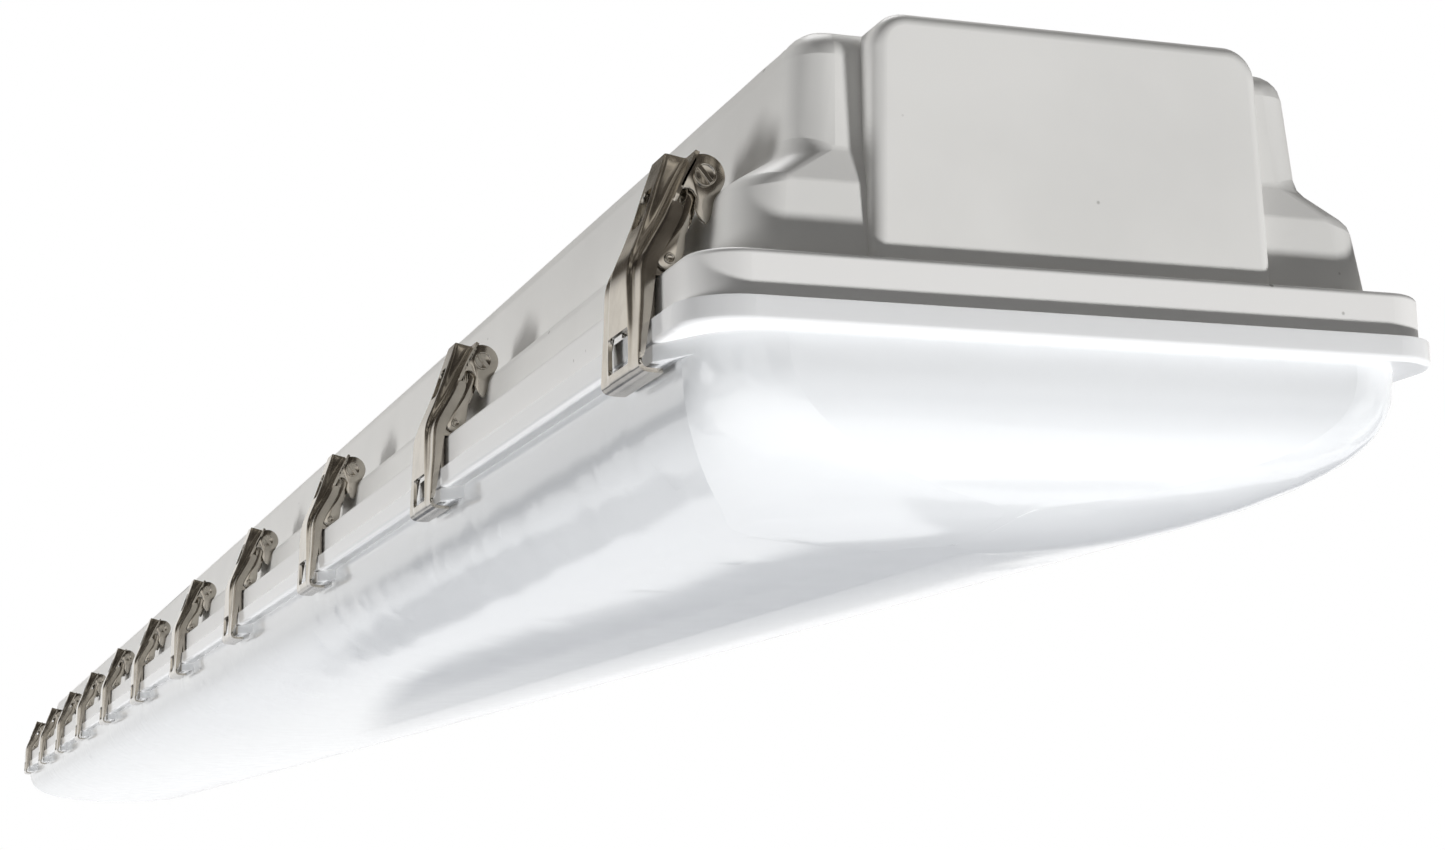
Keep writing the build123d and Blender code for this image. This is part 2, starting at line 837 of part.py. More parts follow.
def make_bracket():
    """Hat-shaped strap across the housing's top, with two ceiling holes."""
    top = bracket_top_length / 2
    foot = bracket_foot_length / 2
    sketch = side_sketch([
        (-top, 0),
        (top, 0),
        (top, housing_top + bracket_thickness),
        (foot, housing_top + bracket_thickness),
        (foot, housing_top),
        (top - bracket_thickness, housing_top),
        (top - bracket_thickness, -bracket_thickness),
        (-top + bracket_thickness, -bracket_thickness),
        (-top + bracket_thickness, housing_top),
        (-foot, housing_top),
        (-foot, housing_top + bracket_thickness),
        (-top, housing_top + bracket_thickness),
    ])
    strap = across(sketch, -bracket_width / 2, bracket_width)
    outer = [edge for edge in level_edges(strap, 0) if abs(edge.center().X) < bracket_bend_radius]
    strap = fillet(outer, bracket_bend_radius)
    hole = Cylinder(ceiling_hole_radius, 2 * overrun)
    strap -= [place * hole for place in GridLocations(0, ceiling_hole_spacing, 1, 2)]
    bolt_hole = Cylinder(bolt_radius + bolt_clearance, 2 * overrun)
    bolts = GridLocations(0, bolt_spacing, 1, 2)
    return strap - [place * Pos(0, 0, housing_top) * bolt_hole for place in bolts]


def make_brackets():
    """Two brackets, one towards each end."""
    return [place * make_bracket() for place in GridLocations(bracket_spacing, 0, 2, 1)]


def make_bolts():
    """Bolts through the brackets and the housing's top, each with a washer and a nut inside."""
    seat = housing_top + bracket_thickness
    under = housing_top - housing_wall
    end = under - bolt_washer_height - bolt_nut_height - bolt_end
    low = (Align.CENTER, Align.CENTER, Align.MIN)
    high = (Align.CENTER, Align.CENTER, Align.MAX)
    shank = Cylinder(bolt_radius, seat - end, align=high)
    bolt = Pos(0, 0, seat) * (shank + extrude(RegularPolygon(bolt_head_radius, 6), amount=bolt_head_height))
    ring = Circle(bolt_washer_radius) - Circle(bolt_radius + bolt_clearance)
    washer = Pos(0, 0, under - bolt_washer_height) * extrude(ring, amount=bolt_washer_height)
    hexagon = RegularPolygon(bolt_head_radius, 6) - Circle(bolt_radius + fixed_clearance)
    nut = Pos(0, 0, under - bolt_washer_height - bolt_nut_height) * extrude(hexagon, amount=bolt_nut_height)
    pieces = []
    for place in bolt_places():
        pieces += [place * bolt, place * washer, place * nut]
    return pieces


def make_hub():
    """Conduit hub on the far end pad, with its neck through the wall."""
    face = -boss_face
    outer = face - hub_length
    inner = face + hub_neck_length
    height = hub_height()
    body = lengthwise_rod(hub_outer_radius, 0, height, outer, face)
    body += lengthwise_rod(hub_flange_radius, 0, height, face - hub_flange_height, face)
    body = fillet(body.edges().filter_by(GeomType.CIRCLE).group_by(Axis.X)[0], hub_edge_round)
    body += lengthwise_rod(hub_neck_radius, 0, height, face, inner)
    return body - lengthwise_rod(hub_bore_radius, 0, height, outer - overrun, inner + overrun)


def make_locknut():
    """Six-sided nut on the hub's neck, inside the end pad."""
    inner_face = -boss_face + housing_wall
    hexagon = RegularPolygon(locknut_radius, 6) - Circle(hub_neck_radius + locknut_clearance)
    return extrude(Plane.YZ.offset(inner_face) * Pos(0, hub_height()) * hexagon, amount=locknut_height)


def spring_gap():
    """Least gap of the spring to itself, measured between points of one turn and the next."""
    steps = 24
    points = spring_points(steps)
    least = math.inf
    for first, (place, angle) in enumerate(points):
        for other, turned in points[first + steps:]:
            across_gap = 2 * spring_radius * math.sin((turned - angle) / 2)
            least = min(least, math.hypot(other - place, across_gap))
    return least - spring_wire


def main():
    """Write every node."""
    os.makedirs("parts", exist_ok=True)
    save("housing", make_housing())
    save("gasket", make_gasket())
    save("lens", make_lens())
    save("latch_anchors", row(make_anchor()))
    rivet = make_rivet()
    save("anchor_rivets", row([Pos(side * rivet_spacing / 2, 0, 0) * rivet for side in (-1, 1)]))
    save("gear_tray", make_tray())
    save("tray_screws", make_tray_screws())
    save("led_boards", make_boards())
    save("led_driver_1", make_driver(driver_1_place))
    save("led_driver_2", make_driver(driver_2_place))
    save("terminal_block", make_terminal())
    save("wiring", make_wiring())
    save("mounting_brackets", make_brackets())
    save("bracket_bolts", make_bolts())
    save("conduit_hub", make_hub())
    save("hub_locknut", make_locknut())
    levers = row(Compound(children=[make_lever(), make_base_pin(), make_roller(), make_spring()]))
    hooks = row(Compound(children=[make_hook(), make_top_pin()]))
    for number, (lever, hook) in enumerate(zip(levers, hooks), start=1):
        save(f"latch_lever_{number:02d}", lever)
        save(f"latch_hook_{number:02d}", hook)
    print(f"least gap of a latch spring to itself: {spring_gap():.2f} mm")


main()
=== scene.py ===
"""Looks of the sealed ceiling light: finishes for its moulded, cast and turned parts, the stamped
hook plates of its latches, and the studio that it is seen in."""

import math

import bmesh
import bpy
from bpy.props import FloatProperty, FloatVectorProperty, IntProperty, PointerProperty
from mathutils import Matrix, Vector


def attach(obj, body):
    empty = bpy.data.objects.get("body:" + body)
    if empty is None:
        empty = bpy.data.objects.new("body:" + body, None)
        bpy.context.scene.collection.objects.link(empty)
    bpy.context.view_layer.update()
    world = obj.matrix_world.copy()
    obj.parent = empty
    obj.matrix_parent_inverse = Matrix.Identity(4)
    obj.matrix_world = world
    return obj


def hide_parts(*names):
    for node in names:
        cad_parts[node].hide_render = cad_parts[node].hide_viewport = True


bl_info = {
    "name": "Vapor tight light fixture",
    "version": (1, 0, 0),
    "blender": (4, 5, 0),
    "location": "3D View > Sidebar > Light fixture",
    "description": "Finishes and latch plates of a long sealed ceiling light",
    "category": "Object",
}

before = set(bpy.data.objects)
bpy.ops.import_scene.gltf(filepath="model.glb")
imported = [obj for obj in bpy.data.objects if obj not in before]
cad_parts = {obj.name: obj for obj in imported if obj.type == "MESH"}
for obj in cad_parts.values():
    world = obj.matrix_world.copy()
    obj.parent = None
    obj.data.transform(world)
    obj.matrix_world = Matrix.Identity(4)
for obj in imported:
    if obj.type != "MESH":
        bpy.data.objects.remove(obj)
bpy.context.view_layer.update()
MM = 0.001
WHITE = (1, 1, 1, 1)
BLACK = (0, 0, 0, 1)

# How near, in millimetres, a vertex or edge has to be to the place that it is picked by
CLOSE = 0.01
NEAR = 0.05
ABOUT = 0.1
# How far a face's normal has to point along an axis to count as facing that way
FACING = 0.9


def linear(hex_colour):
    """Linear red, green and blue of an sRGB hex colour."""
    parts = [int(hex_colour[i:i + 2], 16) / 255 for i in (1, 3, 5)]
    return tuple(c / 12.92 if c <= 0.04045 else ((c + 0.055) / 1.055) ** 2.4 for c in parts)


def colour_property(name, description, hex_colour):
    return FloatVectorProperty(
        name=name, description=description, default=linear(hex_colour), size=3, subtype="COLOR",
        min=0, max=1,
    )


def length_property(name, description, millimetres):
    return FloatProperty(
        name=name, description=description, default=millimetres * MM, unit="LENGTH", precision=4
    )


class HookPlateSizes(bpy.types.PropertyGroup):
    """Sizes of the stamped plate of one latch."""

    width: length_property("Plate width", "Width of the plate along the fixture", 32.0)
    sheet: length_property("Sheet", "Thickness of the stainless sheet", 1.1)
    fold: length_property(
        "Fold", "How far the first fold of a flange goes back before it runs on", 0.7
    )
    ear_radius: length_property("Ear radius", "Radius of the ears round the upper pin", 5.5)
    head_radius: length_property("Pin head radius", "Radius of the upper pin's heads", 3.0)


class LeverSizes(bpy.types.PropertyGroup):
    """Sizes of the lever of one latch."""

    arm_sheet: length_property("Arm sheet", "Thickness of the lever's arms", 1.0)
    web_sheet: length_property("Web sheet", "Thickness of the plate between the arms", 0.9)
    pin_radius: length_property("Pin radius", "Radius of the lower pin", 1.4)
    roller_radius: length_property("Roller radius", "Radius of the roller on the lower pin", 2.4)
    roller_half: length_property("Roller half length", "Half the length of the roller", 10.2)
    wire_radius: length_property("Wire radius", "Radius of the spring's wire", 0.45)
    coil_radius: length_property(
        "Coil radius", "Radius of the spring's coil at the middle of its wire", 2.4
    )
    coil_pitch: length_property("Coil pitch", "From one turn of the spring to the next", 1.5)
    coil_turns: IntProperty(name="Coil turns", description="Turns of the spring", default=4, min=1)
    leg_length: length_property("Leg length", "Length of the spring's straight legs", 7.0)


class LatchRowSizes(bpy.types.PropertyGroup):
    """Where the latches stand along both sides."""

    count: IntProperty(
        name="Latches a side", description="Number of latches along each side", default=11, min=1
    )
    end_setback: length_property(
        "End setback", "From the rim's end to the middle of the first latch", 45.0
    )
    row_shift: length_property("Row shift", "How far each row's middle stands off the fixture's", 15.0)
    rim_length: length_property("Rim length", "Length of the housing's rim", 2440.0)


class FinishColours(bpy.types.PropertyGroup):
    """Colours of the fixture's finishes."""

    fibreglass: colour_property("Fibreglass", "Moulded housing", "#F3F2EF")
    lens: colour_property("Opal lens", "Moulded opal lens", "#E9EBED")
    stainless: colour_property("Stainless steel", "Latches and brackets", "#C6C0B6")
    backdrop: colour_property("Backdrop", "Floor below the fixture", "#F2F2F1")


def node(tree, kind, inputs=None, **settings):
    """Adds a node with its settings, and sets or links its inputs."""
    made = tree.nodes.new(kind)
    for key, value in settings.items():
        setattr(made, key, value)
    for key, value in (inputs or {}).items():
        if isinstance(value, bpy.types.NodeSocket):
            tree.links.new(value, made.inputs[key])
        else:
            made.inputs[key].default_value = value
    return made


def new_material(name):
    """Empty node material with its tree."""
    material = bpy.data.materials.new(name)
    material.use_nodes = True
    material.node_tree.nodes.clear()
    return material, material.node_tree


def give(obj, material):
    """The object's only material."""
    obj.data.materials.clear()
    obj.data.materials.append(material)


def shades(tree, factor, dark, light, low, high):
    """Colour that runs from dark to light, both linear, as the factor goes from low to high."""
    ramp = node(tree, "ShaderNodeValToRGB", {"Fac": factor})
    ramp.color_ramp.elements[0].position = low
    ramp.color_ramp.elements[0].color = (*dark, 1)
    ramp.color_ramp.elements[1].position = high
    ramp.color_ramp.elements[1].color = (*light, 1)
    return ramp.outputs["Color"]


def dimmed(colour, share):
    """The colour at a share of its brightness."""
    return tuple(c * share for c in colour)


def opaque(hex_colour):
    """Linear colour with an alpha of one, as a node's socket takes it."""
    return (*linear(hex_colour), 1)


def seen_directly(tree):
    """1 where a ray shows a surface, directly, in gloss or through glass, and 0 for its light."""
    path = node(tree, "ShaderNodeLightPath")
    seen = path.outputs["Is Camera Ray"]
    for ray in ("Is Glossy Ray", "Is Transmission Ray"):
        either = {0: seen, 1: path.outputs[ray]}
        seen = node(tree, "ShaderNodeMath", either, operation="MAXIMUM").outputs[0]
    return seen


# Hand-laid glass fibre under a white gel coat: satin, faintly mottled where the resin varies, with
# the soft waviness of a moulded skin and a few dark specks of dirt. The rim is painted whiter, as
# painted light for the strong light that falls on it.
def fibreglass_gel_coat(colour):
    mottle_mm, peel_mm, speck_mm = 60.0, 2.5, 14.0
    speck_core, speck_edge, speck_strength = 0.03, 0.055, 0.6
    rim_start, rim_full = -70.6 * MM, -71.4 * MM
    material, tree = new_material("fibreglass_gel_coat")
    place = node(tree, "ShaderNodeTexCoord").outputs["Object"]
    mottle = node(tree, "ShaderNodeTexNoise", {
        "Vector": place, "Scale": 1 / (mottle_mm * MM), "Detail": 4.0,
    })
    peel = node(tree, "ShaderNodeTexNoise", {
        "Vector": place, "Scale": 1 / (peel_mm * MM), "Detail": 3.0,
    })
    speck = node(tree, "ShaderNodeTexVoronoi", {"Vector": place, "Scale": 1 / (speck_mm * MM)})
    base = shades(
        tree, mottle.outputs["Fac"], dimmed(colour, 0.93), colour, low=0.3, high=0.62
    )
    dirt = node(tree, "ShaderNodeMapRange", {
        "Value": speck.outputs["Distance"], "From Min": speck_core, "From Max": speck_edge,
        "To Min": speck_strength, "To Max": 0.0,
    })
    axes = node(tree, "ShaderNodeSeparateXYZ", {"Vector": place})
    # Painted light: below its top edge the rim is painted whiter, for the strong light that falls on it.
    rim = node(tree, "ShaderNodeMapRange", {
        "Value": axes.outputs["Z"], "From Min": rim_start, "From Max": rim_full,
    })
    rim_painted_lighter = node(tree, "ShaderNodeMixRGB", {
        "Fac": rim.outputs["Result"], "Color1": base, "Color2": opaque("#FAF9F7"),
    })
    dirt_specks_and_rim_light = node(tree, "ShaderNodeMixRGB", {
        "Fac": dirt.outputs["Result"], "Color1": rim_painted_lighter.outputs["Color"],
        "Color2": opaque("#6B6560"),
    })
    gloss = node(tree, "ShaderNodeMapRange", {
        "Value": mottle.outputs["Fac"], "To Min": 0.30, "To Max": 0.46,
    })
    bump = node(tree, "ShaderNodeBump", {
        "Height": peel.outputs["Fac"], "Strength": 0.12, "Distance": 0.1 * MM,
    })
    shader = node(tree, "ShaderNodeBsdfPrincipled", {
        "Base Color": dirt_specks_and_rim_light.outputs["Color"], "Roughness": gloss.outputs["Result"],
        "Normal": bump.outputs["Normal"], "IOR": 1.5,
    })
    node(tree, "ShaderNodeOutputMaterial", {"Surface": shader.outputs["BSDF"]})
    return material


# Injection moulded opal polycarbonate: milky all through, with a glossy skin that shows soft long
# reflections and dust caught on it. Its flange is painted a little whiter, as painted light for the
# light that falls on it.
def opal_polycarbonate(colour):
    flow_mm, dust_mm = 180.0, 14.0
    along_fixture = 0.25
    flange_start, flange_full = -90.5 * MM, -89.5 * MM
    material, tree = new_material("opal_polycarbonate")
    place = node(tree, "ShaderNodeTexCoord").outputs["Object"]
    stretch = node(tree, "ShaderNodeMapping", {"Vector": place, "Scale": (along_fixture, 1.0, 1.0)})
    flow = node(tree, "ShaderNodeTexNoise", {
        "Vector": stretch.outputs["Vector"], "Scale": 1 / (flow_mm * MM), "Detail": 2.0,
    })
    dust = node(tree, "ShaderNodeTexNoise", {
        "Vector": place, "Scale": 1 / (dust_mm * MM), "Detail": 5.0,
    })
    base = shades(
        tree, flow.outputs["Fac"], dimmed(colour, 0.965), colour, low=0.35, high=0.65
    )
    axes = node(tree, "ShaderNodeSeparateXYZ", {"Vector": place})
    # Painted light: the flange is painted whiter, for the light that falls on it.
    flange = node(tree, "ShaderNodeMapRange", {
        "Value": axes.outputs["Z"], "From Min": flange_start, "From Max": flange_full,
    })
    base = node(tree, "ShaderNodeMixRGB", {
        "Fac": flange.outputs["Result"], "Color1": base, "Color2": opaque("#F6F7F8"),
    })
    gloss = node(tree, "ShaderNodeMapRange", {
        "Value": dust.outputs["Fac"], "To Min": 0.06, "To Max": 0.13,
    })
    bump = node(tree, "ShaderNodeBump", {
        "Height": flow.outputs["Fac"], "Strength": 0.05, "Distance": 0.5 * MM,
    })
    shader = node(tree, "ShaderNodeBsdfPrincipled", {
        "Base Color": base.outputs["Color"], "Roughness": gloss.outputs["Result"],
        "Normal": bump.outputs["Normal"], "IOR": 1.585,
        "Subsurface Weight": 0.25, "Subsurface Radius": (1.0, 1.0, 1.0),
        "Subsurface Scale": 2 * MM,
    })
    node(tree, "ShaderNodeOutputMaterial", {"Surface": shader.outputs["BSDF"]})
    return material


# Stamped and tumbled stainless steel: bright, with drawing lines down the sheet and a warm cast.
# The real lines are about 0.1 mm apart and are drawn 0.5 mm apart to show.
def polished_stainless(name, colour, roughness):
    line_mm, cloud_mm = 0.5, 9.0
    down_sheet = 0.06
    least_share, most_share = 0.7, 1.5
    material, tree = new_material(name)
    place = node(tree, "ShaderNodeTexCoord").outputs["Object"]
    drawn = node(tree, "ShaderNodeMapping", {
        "Vector": place, "Scale": (1.0, down_sheet, down_sheet),
    })
    lines = node(tree, "ShaderNodeTexNoise", {
        "Vector": drawn.outputs["Vector"], "Scale": 1 / (line_mm * MM), "Detail": 2.0,
    })
    cloud = node(tree, "ShaderNodeTexNoise", {
        "Vector": place, "Scale": 1 / (cloud_mm * MM), "Detail": 3.0,
    })
    base = shades(
        tree, cloud.outputs["Fac"], dimmed(colour, 0.78), colour, low=0.35, high=0.65
    )
    gloss = node(tree, "ShaderNodeMapRange", {
        "Value": cloud.outputs["Fac"],
        "To Min": roughness * least_share, "To Max": roughness * most_share,
    })
    bump = node(tree, "ShaderNodeBump", {
        "Height": lines.outputs["Fac"], "Strength": 0.10, "Distance": 0.05 * MM,
    })
    shader = node(tree, "ShaderNodeBsdfPrincipled", {
        "Base Color": base, "Metallic": 1.0, "Roughness": gloss.outputs["Result"],
        "Normal": bump.outputs["Normal"],
    })
    node(tree, "ShaderNodeOutputMaterial", {"Surface": shader.outputs["BSDF"]})
    return material


# Zinc plated mild steel of screws and nuts: grey, with the cloudy spangle of the plating.
def zinc_plate():
    spangle_mm = 3.0
    material, tree = new_material("zinc_plate")
    place = node(tree, "ShaderNodeTexCoord").outputs["Object"]
    spangle = node(tree, "ShaderNodeTexVoronoi", {"Vector": place, "Scale": 1 / (spangle_mm * MM)})
    base = shades(
        tree, spangle.outputs["Distance"], linear("#A3A6A8"), linear("#C2C4C4"), low=0.1, high=0.8
    )
    gloss = node(tree, "ShaderNodeMapRange", {
        "Value": spangle.outputs["Distance"], "To Min": 0.28, "To Max": 0.45,
    })
    shader = node(tree, "ShaderNodeBsdfPrincipled", {
        "Base Color": base, "Metallic": 1.0, "Roughness": gloss.outputs["Result"],
    })
    node(tree, "ShaderNodeOutputMaterial", {"Surface": shader.outputs["BSDF"]})
    return material


# Closed-cell foam: dark, dull and finely pitted.
def closed_cell_foam():
    cell_mm = 0.8
    material, tree = new_material("closed_cell_foam")
    place = node(tree, "ShaderNodeTexCoord").outputs["Object"]
    cells = node(tree, "ShaderNodeTexVoronoi", {"Vector": place, "Scale": 1 / (cell_mm * MM)})
    base = shades(
        tree, cells.outputs["Distance"], linear("#1B1B1B"), linear("#333333"), low=0.1, high=0.7
    )
    bump = node(tree, "ShaderNodeBump", {
        "Height": cells.outputs["Distance"], "Strength": 0.5, "Distance": 0.3 * MM,
    })
    shader = node(tree, "ShaderNodeBsdfPrincipled", {
        "Base Color": base, "Roughness": 0.9, "Normal": bump.outputs["Normal"],
    })
    node(tree, "ShaderNodeOutputMaterial", {"Surface": shader.outputs["BSDF"]})
    return material


def painted(name, hex_dark, hex_light, grain_mm, roughness, bump_mm):
    """Painted or moulded surface with a fine grain in its colour and height."""
    material, tree = new_material(name)
    place = node(tree, "ShaderNodeTexCoord").outputs["Object"]
    grain = node(tree, "ShaderNodeTexNoise", {
        "Vector": place, "Scale": 1 / (grain_mm * MM), "Detail": 3.0,
    })
    base = shades(
        tree, grain.outputs["Fac"], linear(hex_dark), linear(hex_light), low=0.3, high=0.7
    )
    bump = node(tree, "ShaderNodeBump", {
        "Height": grain.outputs["Fac"], "Strength": 0.3, "Distance": bump_mm * MM,
    })
    shader = node(tree, "ShaderNodeBsdfPrincipled", {
        "Base Color": base, "Roughness": roughness, "Normal": bump.outputs["Normal"],
    })
    node(tree, "ShaderNodeOutputMaterial", {"Surface": shader.outputs["BSDF"]})
    return material


def nothing_selected():
    """Object mode with nothing selected or active."""
    if bpy.context.object and bpy.context.object.mode != "OBJECT":
        bpy.ops.object.mode_set(mode="OBJECT")
    bpy.ops.object.select_all(action="DESELECT")


def select_only(obj):
    """Object mode with one object selected and active."""
    nothing_selected()
    obj.select_set(True)
    bpy.context.view_layer.objects.active = obj


def pick(obj, kind, test):
    """In edit mode, selects only the vertices, edges or faces whose middle passes the test."""
    bpy.ops.mesh.select_all(action="DESELECT")
    bpy.ops.mesh.select_mode(type=kind)
    shape = bmesh.from_edit_mesh(obj.data)
    items = {"VERT": shape.verts, "EDGE": shape.edges, "FACE": shape.faces}[kind]
    count = 0
    for item in items:
        if kind == "VERT":
            middle = item.co
        elif kind == "EDGE":
            middle = (item.verts[0].co + item.verts[1].co) / 2
        else:
            middle = item.calc_center_median()
        if test(middle, item):
            item.select_set(True)
            count += 1
    shape.select_flush_mode()
    bmesh.update_edit_mesh(obj.data)
    if not count:
        raise RuntimeError(f"nothing to select on {obj.name}")


def modifier(obj, kind, **settings):
    """Adds a modifier with its settings and applies it."""
    added = obj.modifiers.new(kind, kind)
    for key, value in settings.items():
        setattr(added, key, value)
    select_only(obj)
    bpy.ops.object.modifier_apply(modifier=added.name)


def soften(obj, width, segments=2, over=40):
    """Rounds the edges that turn by over so many degrees, by a width in millimetres."""
    modifier(
        obj, "BEVEL", width=width, segments=segments, limit_method="ANGLE",
        angle_limit=math.radians(over),
    )


def point_outwards():
    """Leaves edit mode with all faces turned the same way, outwards where the mesh is closed."""
    bpy.ops.mesh.select_all(action="SELECT")
    bpy.ops.mesh.normals_make_consistent(inside=False)
    bpy.ops.object.mode_set(mode="OBJECT")


def turn_over():
    """Points every face of the active mesh the other way."""
    bpy.ops.object.mode_set(mode="EDIT")
    bpy.ops.mesh.select_all(action="SELECT")
    bpy.ops.mesh.flip_normals()
    bpy.ops.object.mode_set(mode="OBJECT")


def flat_outline(vertices, radius, middle, corners, side):
    """Disc across the fixture that faces one side. Its points, each named by its degrees round the
    middle, move to their corners."""
    nothing_selected()
    bpy.ops.mesh.primitive_circle_add(
        vertices=vertices, radius=radius, fill_type="NGON", rotation=(0, math.pi / 2, 0),
        location=(0, -middle[0], middle[1]),
    )
    disc = bpy.context.object
    bpy.ops.object.transform_apply(location=True, rotation=True, scale=True)
    bpy.ops.object.mode_set(mode="EDIT")
    for degrees, (out, height) in corners:
        from_y = -middle[0] - radius * math.cos(math.radians(degrees))
        from_z = middle[1] + radius * math.sin(math.radians(degrees))
        pick(disc, "VERT", lambda co, item: abs(co.y - from_y) < NEAR and abs(co.z - from_z) < NEAR)
        bpy.ops.transform.translate(value=(0, -out - from_y, height - from_z))
    point_outwards()
    if disc.data.polygons[0].normal.x * side < 0:
        turn_over()
    return disc


def rod_along(place, radius, length, vertices, middle=0.0):
    """Plain cylinder along the fixture, through a place."""
    nothing_selected()
    bpy.ops.mesh.primitive_cylinder_add(
        vertices=vertices, radius=radius, depth=length, rotation=(0, math.pi / 2, 0),
        location=(middle, -place[0], place[1]),
    )
    rod = bpy.context.object
    bpy.ops.object.transform_apply(location=True, rotation=True, scale=True)
    return rod


def dish_end(rod, side, ring, slope, depth):
    """Sinks the middle of one end of a rod and leaves a ring round it."""
    bpy.ops.object.mode_set(mode="EDIT")
    pick(rod, "FACE", lambda co, item: item.normal.x * side > FACING)
    bpy.ops.mesh.inset(thickness=ring)
    bpy.ops.mesh.inset(thickness=slope)
    bpy.ops.transform.translate(value=(-side * depth, 0, 0))
    bpy.ops.object.mode_set(mode="OBJECT")


def in_metres(obj):
    """Turns a piece that was modelled in millimetres to metres, with its place in its mesh."""
    select_only(obj)
    bpy.ops.object.transform_apply(location=True, rotation=True, scale=True)
    bpy.context.scene.cursor.location = (0, 0, 0)
    obj.scale = (MM, MM, MM)
    bpy.ops.object.transform_apply(location=False, rotation=False, scale=True)


# Rows of the hook plate from its top to its foot. Each gives the outer face of the raised rib, the
# outer face of the brim beside it, the rib's half width and the depth of the side flange. Places
# are the distance out from the fixture's middle and the height, both in millimetres.
PLATE_ROWS = (
    ((95.2, -38.0), (90.4, -39.5), 5.6, 0.0),
    ((95.8, -39.8), (91.0, -40.8), 6.0, 0.0),
    ((96.7, -42.6), (92.0, -42.9), 6.0, 0.0),
    ((98.0, -46.3), (93.9, -46.4), 6.0, 0.0),
    ((99.6, -51.2), (96.0, -51.2), 6.0, 0.0),
    ((100.2, -53.2), (97.0, -53.2), 6.0, 3.4),
    ((101.5, -56.4), (98.5, -56.4), 6.1, 4.2),
    ((102.7, -59.8), (100.4, -59.8), 6.3, 4.4),
    ((104.7, -64.2), (103.0, -64.2), 6.6, 4.5),
    ((105.8, -67.6), (104.6, -67.6), 7.0, 4.3),
    ((106.1, -70.8), (105.0, -70.8), 7.3, 3.9),
    ((106.2, -74.2), (105.1, -74.2), 7.6, 3.5),
    ((106.2, -77.4), (105.2, -77.4), 7.9, 3.2),
    ((106.2, -80.6), (105.3, -80.6), 8.2, 2.9),
    ((106.2, -83.4), (105.5, -83.4), 8.5, 2.6),
    ((106.2, -86.4), (105.7, -86.4), 8.5, 2.3),
    ((106.2, -89.4), (105.8, -89.4), 8.5, 2.0),
    ((106.2, -92.6), (106.0, -92.6), 8.5, 1.5),
    ((105.9, -94.7), (105.9, -94.7), 8.5, 0.0),
    ((104.9, -95.8), (104.9, -95.8), 8.5, 0.0),
    ((102.6, -96.1), (102.6, -96.1), 8.5, 0.0),
    ((99.5, -96.1), (99.5, -96.1), 8.5, 0.0),
)
# Columns of vertices on each side of the plate's middle, before the rib is widened: the rib's edge
# is at RIB_EDGE, its leaning wall runs between the WALL_SPAN and the brim starts at BRIM_START.
COLUMNS = (2.2, 4.4, 5.4, 6.0, 6.5, 7.5, 8.1, 9.2, 12.8, 15.3, 16.0)
RIB_EDGE = 6.0
WALL_SPAN = (5.0, 9.5)
BRIM_START = 8.0
# Share of the way back to the brim at the columns on the wall
WALL = {6.5: 0.18, 7.5: 0.86}
# Lowest and highest place and half width of the two openings
HOLE = (-56.4, -46.3, 4.4)
WINDOW = (-92.6, -83.4, 6.0)
# Upper pin, that lever and plate turn on: distance out and height
PIN = (88.5, -46.0)

# Outline of the ear, going round the upper pin from its outer side: degrees round the pin, then
# the place that the round's point there moves to.
EAR_CORNERS = {
    70: (90.1, -40.4), 60: (90.8, -41.5), 50: (91.4, -42.6), 40: (92.1, -43.8), 30: (92.8, -45.0),
    20: (93.4, -46.2), 10: (94.0, -47.4), 0: (94.4, -48.4), -10: (94.7, -49.3), -20: (94.3, -49.8),
    -30: (93.4, -49.5), -40: (92.4, -49.6), -50: (91.4, -50.2), -60: (90.5, -51.6),
    -70: (91.0, -54.4), -80: (90.2, -56.2), -90: (89.2, -57.6), -100: (88.1, -58.4),
    -110: (87.3, -57.4), -120: (86.5, -55.2), -130: (85.5, -52.4), -140: (84.5, -50.2),
}


def row_of(place):
    """Test for the vertices that lie on a row of the plate."""
    return lambda co: abs(co.y + place[0]) < CLOSE and abs(co.z - place[1]) < CLOSE


def is_level(edge):
    """Whether an edge runs along the fixture and not down the plate."""
    return abs(edge.verts[0].co.z - edge.verts[1].co.z) < CLOSE


def stamped_web(sizes):
    """Web of the hook plate: an edge extruded row by row down the line of its rib."""
    nothing_selected()
    bpy.ops.mesh.primitive_grid_add(x_subdivisions=2 * len(COLUMNS), y_subdivisions=1, size=2)
    plate = bpy.context.object
    plate.name = "hook_plate"
    bpy.ops.object.mode_set(mode="EDIT")
    spread = sizes.width / MM / 2 / COLUMNS[-1]
    for number in range(len(COLUMNS), 0, -1):
        for side in (-1, 1):
            at = side * number / len(COLUMNS)
            pick(plate, "VERT", lambda co, item: abs(co.x - at) < CLOSE)
            bpy.ops.transform.translate(value=(side * COLUMNS[number - 1] * spread - at, 0, 0))
    for row_y, (rib, _, _, _) in zip((1, -1), PLATE_ROWS[:2]):
        pick(plate, "VERT", lambda co, item: abs(co.y - row_y) < CLOSE)
        bpy.ops.transform.translate(value=(0, -rib[0] - row_y, rib[1]))
    for (before, _, _, _), (after, _, _, _) in zip(PLATE_ROWS[1:], PLATE_ROWS[2:]):
        on_row = row_of(before)
        pick(plate, "EDGE", lambda co, item: on_row(co) and is_level(item))
        step = (0, before[0] - after[0], after[1] - before[1])
        bpy.ops.mesh.extrude_region_move(TRANSFORM_OT_translate={"value": step})
    return plate


def cut_openings(plate):
    """Removes the faces of the hole in the rib and of the window at the foot."""
    for low, high, reach in (HOLE, WINDOW):
        pick(plate, "FACE", lambda co, item: low < co.z < high
             and max(abs(vert.co.x) for vert in item.verts) < reach + ABOUT)
        bpy.ops.mesh.delete(type="FACE")


